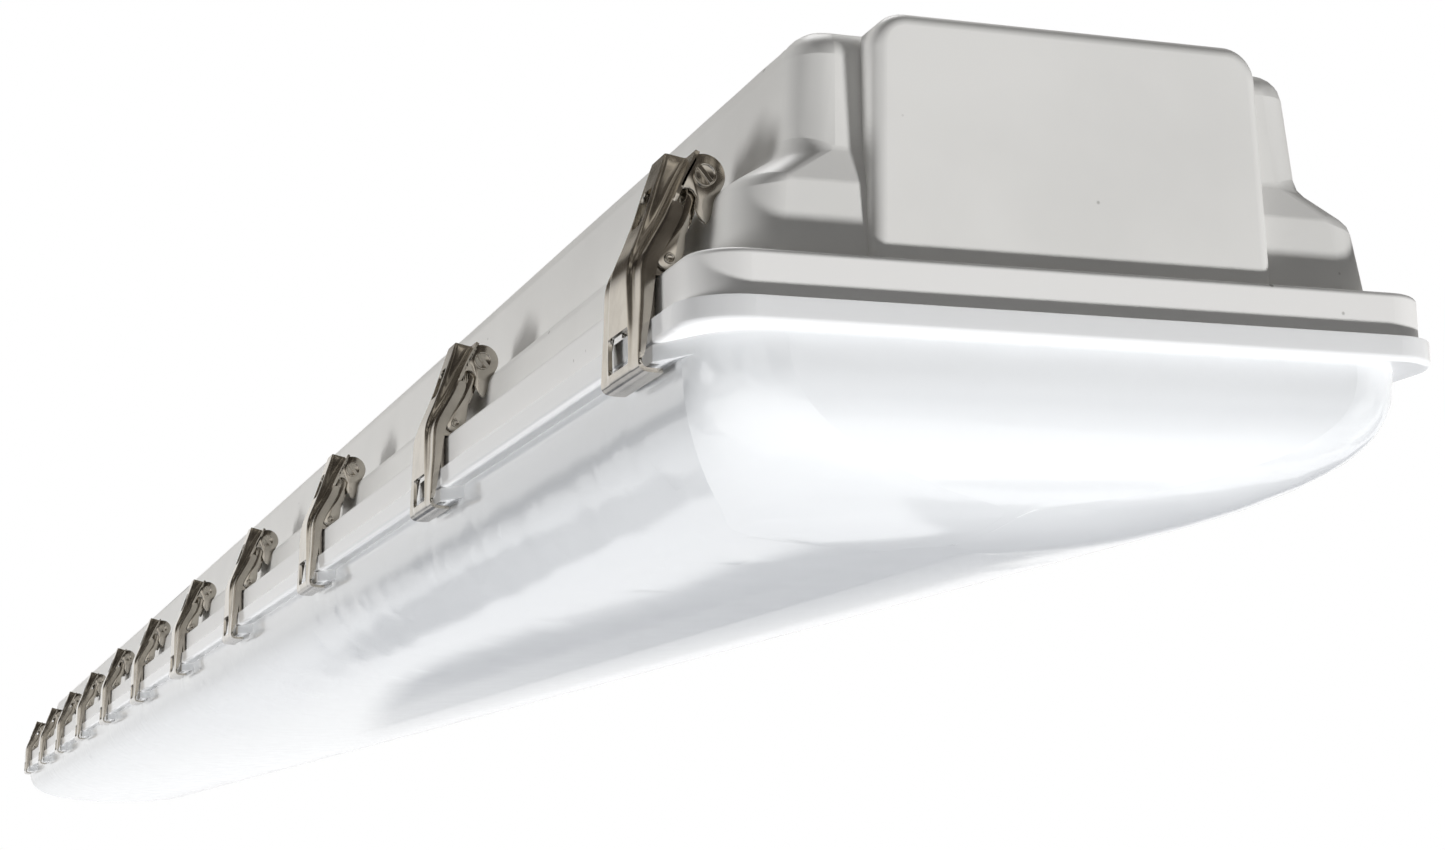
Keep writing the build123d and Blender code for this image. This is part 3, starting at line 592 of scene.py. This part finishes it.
def press_rib(plate):
    """Presses the brim back from the rib, whose walls lean, and widens the rib towards the foot."""
    low, high = WALL_SPAN
    for rib, brim, half, _ in PLATE_ROWS:
        on_row = row_of(rib)
        wider = half - RIB_EDGE
        if abs(wider) > CLOSE:
            for side in (-1, 1):
                pick(plate, "VERT", lambda co, item: on_row(co) and low < co.x * side < high)
                bpy.ops.transform.translate(value=(side * wider, 0, 0))
        for column, share in (*WALL.items(), (None, 1.0)):
            back = (0, share * (rib[0] - brim[0]), share * (brim[1] - rib[1]))
            if abs(back[1]) + abs(back[2]) < CLOSE:
                continue
            if column is None:
                pick(plate, "VERT", lambda co, item: on_row(co) and abs(co.x) > BRIM_START + wider)
            else:
                pick(plate, "VERT", lambda co, item: on_row(co)
                     and abs(abs(co.x) - column - wider) < ABOUT)
            bpy.ops.transform.translate(value=back)


def fold_flanges(plate, sizes):
    """Folds the plate's long sides back into flanges that narrow towards the foot."""
    least_rise = 0.5
    edge = sizes.width / MM / 2
    first = sizes.fold / MM
    rows = [(brim, depth) for _, brim, _, depth in PLATE_ROWS if depth > 0]
    low, high = rows[-1][0][1], rows[0][0][1]
    for side in (-1, 1):
        pick(plate, "EDGE", lambda co, item: item.is_boundary and abs(co.x * side - edge) < NEAR
             and low - CLOSE < co.z < high + CLOSE
             and abs(item.verts[0].co.z - item.verts[1].co.z) > least_rise)
        for _ in range(2):
            bpy.ops.mesh.extrude_region_move(TRANSFORM_OT_translate={"value": (0, first, 0)})
        for (out, height), depth in rows:
            pick(plate, "VERT", lambda co, item: abs(co.x * side - edge) < NEAR
                 and abs(co.y + out - 2 * first) < CLOSE and abs(co.z - height) < CLOSE)
            bpy.ops.transform.translate(value=(0, depth - 2 * first, 0))


def ear(side, sizes):
    """Ear at one end of the upper pin: a round that meets the brim, with a pointed tail."""
    disc = flat_outline(
        vertices=36, radius=sizes.ear_radius / MM, middle=PIN, corners=EAR_CORNERS.items(), side=side
    )
    disc.location.x = side * sizes.width / MM / 2
    modifier(disc, "SOLIDIFY", thickness=sizes.sheet / MM, offset=-1)
    soften(disc, width=0.22, over=60)
    return disc


def upper_pin(sizes):
    """Pin through both ears, with a ringed head and a bar across it at each end."""
    shaft_radius, head_length, head_stand, bar_stand = 1.5, 1.0, 0.45, 0.75
    bar_depth, bar_width, bar_margin, bar_turn, bar_inset = 0.7, 1.3, 0.6, 38, 0.25
    half = sizes.width / MM / 2
    radius = sizes.head_radius / MM
    shaft = rod_along(PIN, shaft_radius, 2 * half, vertices=20)
    soften(shaft, width=0.2, segments=1)
    parts = [shaft]
    for side in (-1, 1):
        head = rod_along(PIN, radius, head_length, vertices=28, middle=side * (half + head_stand))
        dish_end(head, side, ring=0.45, slope=0.2, depth=0.35)
        soften(head, width=0.12)
        nothing_selected()
        at_end = (side * (half + bar_stand), -PIN[0], PIN[1])
        bpy.ops.mesh.primitive_cube_add(size=1, location=at_end)
        bar = bpy.context.object
        bar.scale = (bar_depth, bar_width, 2 * radius - bar_margin)
        bar.rotation_euler = (math.radians(bar_turn), 0, 0)
        bpy.ops.object.transform_apply(location=True, rotation=True, scale=True)
        bpy.ops.object.mode_set(mode="EDIT")
        pick(bar, "FACE", lambda co, item: item.normal.x * side > FACING)
        bpy.ops.mesh.inset(thickness=bar_inset)
        bpy.ops.object.mode_set(mode="OBJECT")
        soften(bar, width=0.15)
        parts += [head, bar]
    return parts


# Outline of the lever's arm: degrees round a circle about its middle, then the distance along the
# arm from the lower pin and the distance to its outer side.
ARM_OUTLINE = (
    (0, (26.3, 0.0)), (15, (25.9, 1.6)), (30, (24.8, 2.9)), (45, (23.2, 3.5)), (60, (20.8, 3.1)),
    (75, (17.6, 1.7)), (90, (12.0, 1.4)), (105, (7.2, 1.7)), (120, (3.6, 2.8)), (135, (1.4, 3.1)),
    (150, (-1.4, 2.9)), (165, (-2.7, 1.6)), (180, (-3.1, 0.0)), (195, (-2.7, -1.6)),
    (210, (-1.4, -2.9)), (225, (0.8, -3.1)), (240, (3.2, -2.3)), (255, (7.0, -1.5)),
    (270, (12.0, -1.3)), (285, (17.0, -1.6)), (300, (20.2, -2.9)), (315, (22.6, -3.5)),
    (330, (24.6, -3.0)), (345, (25.8, -1.7)),
)
# Lower pin, that the lever turns on in its anchor: distance out and height
LOWER_PIN = (97.0, -67.0)
# From the latch's middle to the inner side of each arm
ARM_INNER = 12.6


def along_arm(up, aside):
    """Place on the lever, measured up from its lower pin and out from its line."""
    line = Vector((PIN[0] - LOWER_PIN[0], PIN[1] - LOWER_PIN[1])).normalized()
    out = LOWER_PIN[0] + line.x * up + line.y * aside * -1
    height = LOWER_PIN[1] + line.y * up + line.x * aside
    return out, height


def lever_arm(side, sizes):
    """Waisted arm between the two pins, with rounded edges."""
    sheet = sizes.arm_sheet / MM
    corners = [(degrees, along_arm(*spot)) for degrees, spot in ARM_OUTLINE]
    arm = flat_outline(
        vertices=len(ARM_OUTLINE), radius=50, middle=(0, 0), corners=corners, side=side
    )
    arm.location.x = side * (ARM_INNER + sheet)
    modifier(arm, "SOLIDIFY", thickness=sheet, offset=-1)
    soften(arm, width=0.2, over=60)
    return arm


def turned_rod(place, radius, half, ring):
    """Rod along the fixture with a raised ring and a dished middle at each end."""
    rod = rod_along(place, radius, 2 * half, vertices=28)
    for side in (-1, 1):
        dish_end(rod, side, ring, slope=0.15, depth=0.3)
    soften(rod, width=0.15)
    return rod


def return_spring(sizes):
    """Coil round the upper pin, a round of wire swept on by the Screw modifier, with two legs."""
    wire_sides, steps_a_turn = 10, 18
    wire, coil, pitch = sizes.wire_radius / MM, sizes.coil_radius / MM, sizes.coil_pitch / MM
    leg_length = sizes.leg_length / MM
    half = pitch * sizes.coil_turns / 2
    nothing_selected()
    bpy.ops.mesh.primitive_circle_add(
        vertices=wire_sides, radius=wire, location=(-half, 0, coil), rotation=(math.pi / 2, 0, 0)
    )
    coiled = bpy.context.object
    bpy.ops.object.transform_apply(location=True, rotation=True, scale=True)
    modifier(
        coiled, "SCREW", axis="X", angle=math.tau, screw_offset=pitch, iterations=sizes.coil_turns,
        steps=steps_a_turn, render_steps=steps_a_turn,
    )
    coiled.location = (0, -PIN[0], PIN[1])
    bpy.ops.object.mode_set(mode="EDIT")
    bpy.ops.mesh.select_all(action="SELECT")
    bpy.ops.mesh.fill_holes(sides=0)
    point_outwards()
    parts = [coiled]
    for side in (-1, 1):
        nothing_selected()
        bpy.ops.mesh.primitive_cylinder_add(
            vertices=wire_sides, radius=wire, depth=leg_length,
            location=(side * half, -PIN[0] - coil, PIN[1] - leg_length / 2),
        )
        leg = bpy.context.object
        bpy.ops.object.transform_apply(location=True, rotation=True, scale=True)
        soften(leg, width=0.12)
        parts.append(leg)
    return parts


def lever_web(sizes):
    """Folded plate between the arms, with a hump pressed along its middle."""
    spans, start, length, aside = 3, 8.0, 7.0, 1.6
    hump_half, hump = 7.0, (0, 0.9, 0.3)
    nothing_selected()
    bpy.ops.mesh.primitive_grid_add(x_subdivisions=8, y_subdivisions=spans, size=2)
    web = bpy.context.object
    bpy.ops.object.mode_set(mode="EDIT")
    bpy.ops.transform.resize(value=(ARM_INNER, 1, 1))
    for row in range(spans + 1):
        row_y = -1 + 2 * row / spans
        out, height = along_arm(start + length * row / spans, aside)
        pick(web, "VERT", lambda co, item: abs(co.y - row_y) < CLOSE and abs(co.z) < CLOSE)
        bpy.ops.transform.translate(value=(0, -out - row_y, height))
    pick(web, "VERT", lambda co, item: abs(co.x) < hump_half)
    bpy.ops.transform.translate(value=hump)
    point_outwards()
    modifier(web, "SUBSURF", levels=1, render_levels=1)
    modifier(web, "SOLIDIFY", thickness=sizes.web_sheet / MM, offset=0)
    soften(web, width=0.12, segments=1, over=60)
    return web


def joined(parts, name):
    """One object of several."""
    nothing_selected()
    for part in parts:
        part.select_set(True)
    bpy.context.view_layer.objects.active = parts[0]
    bpy.ops.object.join()
    whole = bpy.context.object
    whole.name = name
    return whole


def latch_places(rows):
    """Turn and move to every latch: the first row on the -Y side from the +X end, then the other."""
    first = rows.rim_length / 2 - rows.end_setback
    pitch = 2 * (first - rows.row_shift) / max(1, rows.count - 1)
    places = []
    for turn in (0, math.pi):
        for number in range(rows.count):
            along = Matrix.Translation((first - number * pitch, 0, 0))
            places.append(Matrix.Rotation(turn, 4, "Z") @ along)
    return places


def copy_to_latches(whole, node_name, material, rows):
    """Puts a copy of a finished piece in place of each latch's node, riding on that body."""
    smooth_up_to = 40
    in_metres(whole)
    select_only(whole)
    bpy.ops.object.shade_smooth_by_angle(angle=math.radians(smooth_up_to))
    give(whole, material)
    for number, place in enumerate(latch_places(rows), 1):
        copy = whole.copy()
        copy.data = whole.data.copy()
        copy.name = f"{node_name.split('_')[1]}_piece_{number:02d}"
        bpy.context.collection.objects.link(copy)
        copy.data.transform(place)
        body = f"{node_name}_{number:02d}"
        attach(copy, body)
        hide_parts(body)
    bpy.data.objects.remove(whole)


def finish_node(name, material):
    """Gives a CAD node its finish."""
    give(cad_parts[name], material)


class FIXTURE_OT_hook_plates(bpy.types.Operator):
    """Stamps one hook plate with its ears, tails and upper pin, and puts a copy on every latch"""

    bl_idname = "fixture.hook_plates"
    bl_label = "Hook plates"

    def execute(self, context):
        sizes = context.scene.hook_plate
        colour = context.scene.finishes.stainless
        steel = polished_stainless("stamped_stainless", colour, roughness=0.14)
        plate = stamped_web(sizes)
        cut_openings(plate)
        press_rib(plate)
        fold_flanges(plate, sizes)
        point_outwards()
        front_height = -70
        front = min(plate.data.polygons,
                    key=lambda face: abs(face.center.x) + abs(face.center.z - front_height))
        if front.normal.y > 0:
            turn_over()
        modifier(plate, "SUBSURF", levels=1, render_levels=1)
        modifier(plate, "SOLIDIFY", thickness=sizes.sheet / MM, offset=-1)
        soften(plate, width=0.14, segments=1, over=65)
        parts = [plate, ear(-1, sizes), ear(1, sizes), *upper_pin(sizes)]
        whole = joined(parts, "hook_plate_master")
        copy_to_latches(whole, "latch_hook", steel, context.scene.latch_rows)
        return {"FINISHED"}


class FIXTURE_OT_levers(bpy.types.Operator):
    """Makes one lever with its waisted arms, web, roller and spring, and puts a copy on every latch"""

    bl_idname = "fixture.levers"
    bl_label = "Levers"

    def execute(self, context):
        colour = context.scene.finishes.stainless
        steel = polished_stainless("bright_drawn_stainless", colour, roughness=0.10)
        sizes = context.scene.lever
        pin_stand = 0.6
        reach = ARM_INNER + sizes.arm_sheet / MM + pin_stand
        parts = [
            lever_arm(-1, sizes), lever_arm(1, sizes), lever_web(sizes),
            turned_rod(LOWER_PIN, sizes.pin_radius / MM, reach, ring=0.5),
            turned_rod(LOWER_PIN, sizes.roller_radius / MM, sizes.roller_half / MM, ring=0.6),
            *return_spring(sizes),
        ]
        whole = joined(parts, "lever_master")
        copy_to_latches(whole, "latch_lever", steel, context.scene.latch_rows)
        return {"FINISHED"}


class FIXTURE_OT_finishes(bpy.types.Operator):
    """Gives every part of the frame its finish"""

    bl_idname = "fixture.finishes"
    bl_label = "Finishes"

    def execute(self, context):
        colours = context.scene.finishes
        gel_coat = fibreglass_gel_coat(colours.fibreglass)
        opal = opal_polycarbonate(colours.lens)
        steel = polished_stainless("rolled_stainless", colours.stainless, roughness=0.18)
        zinc = zinc_plate()
        foam = closed_cell_foam()
        # Baked white enamel on the steel gear tray: bright and glossy, with a faint orange peel.
        enamel = painted(
            "white_enamel", "#E2E3E1", "#EFEFED",
            grain_mm=1.5, roughness=0.25, bump_mm=0.03,
        )
        # White solder mask on glass epoxy boards: matte, with the weave just showing.
        board = painted(
            "solder_mask_board", "#E6E7E2", "#F1F1EE",
            grain_mm=0.6, roughness=0.5, bump_mm=0.02,
        )
        # Powder coat on the drivers' steel cases: grey, satin and slightly pebbled.
        case = painted(
            "powder_coated_steel", "#B9BDC0", "#C9CCCE",
            grain_mm=1.2, roughness=0.4, bump_mm=0.05,
        )
        # Injection moulded nylon of the terminal block: warm ivory and nearly matte.
        nylon = painted(
            "moulded_nylon", "#D9D5C6", "#E3DFD1",
            grain_mm=0.9, roughness=0.55, bump_mm=0.03,
        )
        # Extruded PVC insulation of the wires: near black with a soft sheen.
        wire = painted(
            "extruded_pvc_insulation", "#1E1F22", "#2A2B2E",
            grain_mm=0.5, roughness=0.35, bump_mm=0.01,
        )
        # Glass filled polyamide of the conduit hub: mid grey, with a fine spark-eroded grain.
        hub = painted(
            "glass_filled_polyamide", "#5B5D60", "#696B6D",
            grain_mm=0.8, roughness=0.5, bump_mm=0.05,
        )
        finishes = {
            "housing": gel_coat, "lens": opal, "gasket": foam, "latch_anchors": steel,
            "anchor_rivets": steel, "gear_tray": enamel, "tray_screws": zinc, "led_boards": board,
            "led_driver_1": case, "led_driver_2": case, "terminal_block": nylon,
            "wiring": wire, "mounting_brackets": steel, "bracket_bolts": zinc, "conduit_hub": hub, "hub_locknut": zinc,
        }
        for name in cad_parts:
            finish_node(name, finishes.get(name, steel))
        return {"FINISHED"}


# Camera that sees the fixture as the photograph does: metres, degrees and millimetres of its lens
CAMERA_PLACE = (1.74669, -0.27736, -0.21388)
CAMERA_TURN = (100.1944, 0.8737, 71.0419)
CAMERA_SENSOR, CAMERA_LENS = 36.0, 61.683
CAMERA_NEAR, CAMERA_FAR = 0.02, 60.0
# Broad far lamps: where each stands, as degrees round the fixture and above it, the degrees that it
# spreads over and its strength. One is low before the near end, one along the camera's side and one
# overhead.
LAMPS = (
    ("end_lamp", 32.0, -51.0, 6.0, 3.55),
    ("side_lamp", -104.0, -18.0, 22.0, 1.45),
    ("top_lamp", 170.0, 65.0, 30.0, 1.60),
)
WORLD_LIGHT = 0.15
FLOOR_SIZE, FLOOR_HEIGHT, FLOOR_GLOW = 60.0, -7.0, 0.42
ROOM_RADIUS = 9.0
# Tones of the reflected room from its ground, at 0, to its top, at 1
ROOM_TONES = (
    (0.30, "#DADCE0"), (0.45, "#FFFFFF"), (0.592, "#F4F1EC"), (0.628, "#5A544D"),
    (0.70, "#34302C"), (0.82, "#4E4943"), (1.0, "#8A847C"),
)


class FIXTURE_OT_studio(bpy.types.Operator):
    """Sets up the camera, the floor, the soft light and the white surroundings"""

    bl_idname = "fixture.studio"
    bl_label = "Studio"

    def execute(self, context):
        scene = context.scene
        scene.view_settings.view_transform = "Standard"
        nothing_selected()
        bpy.ops.object.camera_add(
            location=CAMERA_PLACE, rotation=[math.radians(degrees) for degrees in CAMERA_TURN]
        )
        camera = context.object
        camera.name = "photo_view"
        camera.data.sensor_width = CAMERA_SENSOR
        camera.data.lens = CAMERA_LENS
        camera.data.clip_start = CAMERA_NEAR
        camera.data.clip_end = CAMERA_FAR
        scene.camera = camera
        self.surroundings(scene)
        self.floor(scene.finishes.backdrop)
        self.lamps()
        self.reflected_room()
        return {"FINISHED"}

    def surroundings(self, scene):
        """A world that is white to the eye and gives only a little light of its own."""
        world = bpy.data.worlds.new("studio_world")
        scene.world = world
        world.use_nodes = True
        tree = world.node_tree
        tree.nodes.clear()
        seen = seen_directly(tree)
        light = node(tree, "ShaderNodeBackground", {"Color": WHITE, "Strength": WORLD_LIGHT})
        white = node(tree, "ShaderNodeBackground", {"Color": WHITE, "Strength": 1.0})
        mix = node(tree, "ShaderNodeMixShader", {0: seen, 1: light.outputs[0], 2: white.outputs[0]})
        node(tree, "ShaderNodeOutputWorld", {"Surface": mix.outputs[0]})

    def floor(self, colour):
        """A pale floor far below, lifted to the colour of the backdrop where it is seen."""
        material, tree = new_material("studio_floor")
        matte = node(tree, "ShaderNodeBsdfDiffuse", {"Color": (*colour, 1)})
        lift = node(tree, "ShaderNodeMath", {
            0: seen_directly(tree), 1: FLOOR_GLOW,
        }, operation="MULTIPLY")
        glow = node(tree, "ShaderNodeEmission", {
            "Color": (*colour, 1), "Strength": lift.outputs[0],
        })
        both = node(tree, "ShaderNodeAddShader", {0: matte.outputs[0], 1: glow.outputs[0]})
        node(tree, "ShaderNodeOutputMaterial", {"Surface": both.outputs[0]})
        nothing_selected()
        bpy.ops.mesh.primitive_plane_add(size=FLOOR_SIZE, location=(0, 0, FLOOR_HEIGHT))
        ground = bpy.context.object
        ground.name = "studio_floor"
        ground.visible_shadow = False
        ground.visible_diffuse = False
        give(ground, material)

    def lamps(self):
        """The lamps, of which the end one isn't seen in gloss."""
        for name, azimuth, elevation, spread, strength in LAMPS:
            nothing_selected()
            bpy.ops.object.light_add(type="SUN", location=(0, 0, 0))
            lamp = bpy.context.object
            lamp.name = name
            lamp.data.energy = strength
            lamp.data.angle = math.radians(spread)
            lamp.visible_glossy = name != "end_lamp"
            turn, rise = math.radians(azimuth), math.radians(elevation)
            flat = math.cos(rise)
            to_lamp = Vector((math.cos(turn) * flat, math.sin(turn) * flat, math.sin(rise)))
            lamp.rotation_euler = to_lamp.to_track_quat("Z", "Y").to_euler()

    def reflected_room(self):
        """A dome that only gloss sees: white horizon, dark ceiling and streaked pale ground."""
        lean_share = 0.1
        streak_density, band_density = 0.9, 0.28
        ceiling_from, ceiling_full = 0.4, 1.4
        ground_from, ground_full = -0.4, -1.2
        material, tree = new_material("reflected_room")
        place = node(tree, "ShaderNodeTexCoord").outputs["Object"]
        axes = node(tree, "ShaderNodeSeparateXYZ", {"Vector": place})
        lean = node(tree, "ShaderNodeMath", {
            0: axes.outputs["X"], 1: lean_share, 2: axes.outputs["Z"],
        }, operation="MULTIPLY_ADD")
        height = node(tree, "ShaderNodeMapRange", {
            "Value": lean.outputs[0], "From Min": -ROOM_RADIUS, "From Max": ROOM_RADIUS,
        })
        rise = node(tree, "ShaderNodeValToRGB", {"Fac": height.outputs["Result"]})
        stops = rise.color_ramp.elements
        for stop, (position, tone) in zip(stops, (ROOM_TONES[0], ROOM_TONES[-1])):
            stop.position, stop.color = position, opaque(tone)
        for position, tone in ROOM_TONES[1:-1]:
            stops.new(position).color = opaque(tone)
        streaked = node(tree, "ShaderNodeMapping", {"Vector": place, "Scale": (1.0, 1.0, 0.25)})
        streaks = node(tree, "ShaderNodeTexNoise", {
            "Vector": streaked.outputs["Vector"], "Scale": streak_density, "Detail": 1.5,
        })
        lit = shades(
            tree, streaks.outputs["Fac"], linear("#000000"), linear("#E4DED4"), low=0.56, high=0.62
        )
        upper = node(tree, "ShaderNodeMapRange", {
            "Value": axes.outputs["Z"], "From Min": ceiling_from, "From Max": ceiling_full,
        })
        lit = node(tree, "ShaderNodeMixRGB", {
            "Fac": upper.outputs["Result"], "Color1": BLACK, "Color2": lit,
        })
        bands = node(tree, "ShaderNodeTexNoise", {
            "Vector": place, "Scale": band_density, "Detail": 0.5,
        })
        ground = shades(
            tree, bands.outputs["Fac"], linear("#85888F"), linear("#FFFFFF"), low=0.485, high=0.515
        )
        lower = node(tree, "ShaderNodeMapRange", {
            "Value": axes.outputs["Z"], "From Min": ground_from, "From Max": ground_full,
        })
        ground = node(tree, "ShaderNodeMixRGB", {
            "Fac": lower.outputs["Result"], "Color1": WHITE, "Color2": ground,
        })
        room = node(tree, "ShaderNodeMixRGB", {
            "Fac": 1.0, "Color1": rise.outputs["Color"], "Color2": ground.outputs["Color"],
        }, blend_type="MULTIPLY")
        room = node(tree, "ShaderNodeMixRGB", {
            "Fac": 1.0, "Color1": room.outputs["Color"], "Color2": lit.outputs["Color"],
        }, blend_type="LIGHTEN")
        glow = node(tree, "ShaderNodeEmission", {"Color": room.outputs["Color"], "Strength": 1.0})
        node(tree, "ShaderNodeOutputMaterial", {"Surface": glow.outputs[0]})
        nothing_selected()
        bpy.ops.mesh.primitive_ico_sphere_add(subdivisions=4, radius=ROOM_RADIUS)
        dome = bpy.context.object
        dome.name = "reflected_room"
        give(dome, material)
        dome.visible_camera = False
        dome.visible_diffuse = False
        dome.visible_shadow = False
        dome.visible_transmission = False


class FIXTURE_PT_panel(bpy.types.Panel):
    """The fixture's pieces and sizes"""

    bl_label = "Vapor tight light fixture"
    bl_idname = "FIXTURE_PT_panel"
    bl_space_type = "VIEW_3D"
    bl_region_type = "UI"
    bl_category = "Light fixture"

    def draw(self, context):
        for operator in PIECES:
            self.layout.operator(operator.bl_idname)
        scene = context.scene
        for group in (scene.hook_plate, scene.lever, scene.latch_rows, scene.finishes):
            for name in group.bl_rna.properties.keys():
                if name not in ("rna_type", "name"):
                    self.layout.prop(group, name)


GROUPS = (HookPlateSizes, LeverSizes, LatchRowSizes, FinishColours)
PIECES = (FIXTURE_OT_finishes, FIXTURE_OT_hook_plates, FIXTURE_OT_levers, FIXTURE_OT_studio)


def register():
    for item in (*GROUPS, *PIECES, FIXTURE_PT_panel):
        bpy.utils.register_class(item)
    bpy.types.Scene.hook_plate = PointerProperty(type=HookPlateSizes)
    bpy.types.Scene.lever = PointerProperty(type=LeverSizes)
    bpy.types.Scene.latch_rows = PointerProperty(type=LatchRowSizes)
    bpy.types.Scene.finishes = PointerProperty(type=FinishColours)


def unregister():
    del bpy.types.Scene.finishes
    del bpy.types.Scene.latch_rows
    del bpy.types.Scene.lever
    del bpy.types.Scene.hook_plate
    for item in reversed((*GROUPS, *PIECES, FIXTURE_PT_panel)):
        bpy.utils.unregister_class(item)


def main():
    register()
    bpy.ops.fixture.finishes()
    bpy.ops.fixture.hook_plates()
    bpy.ops.fixture.levers()
    bpy.ops.fixture.studio()


if __name__ == "__main__":
    main()
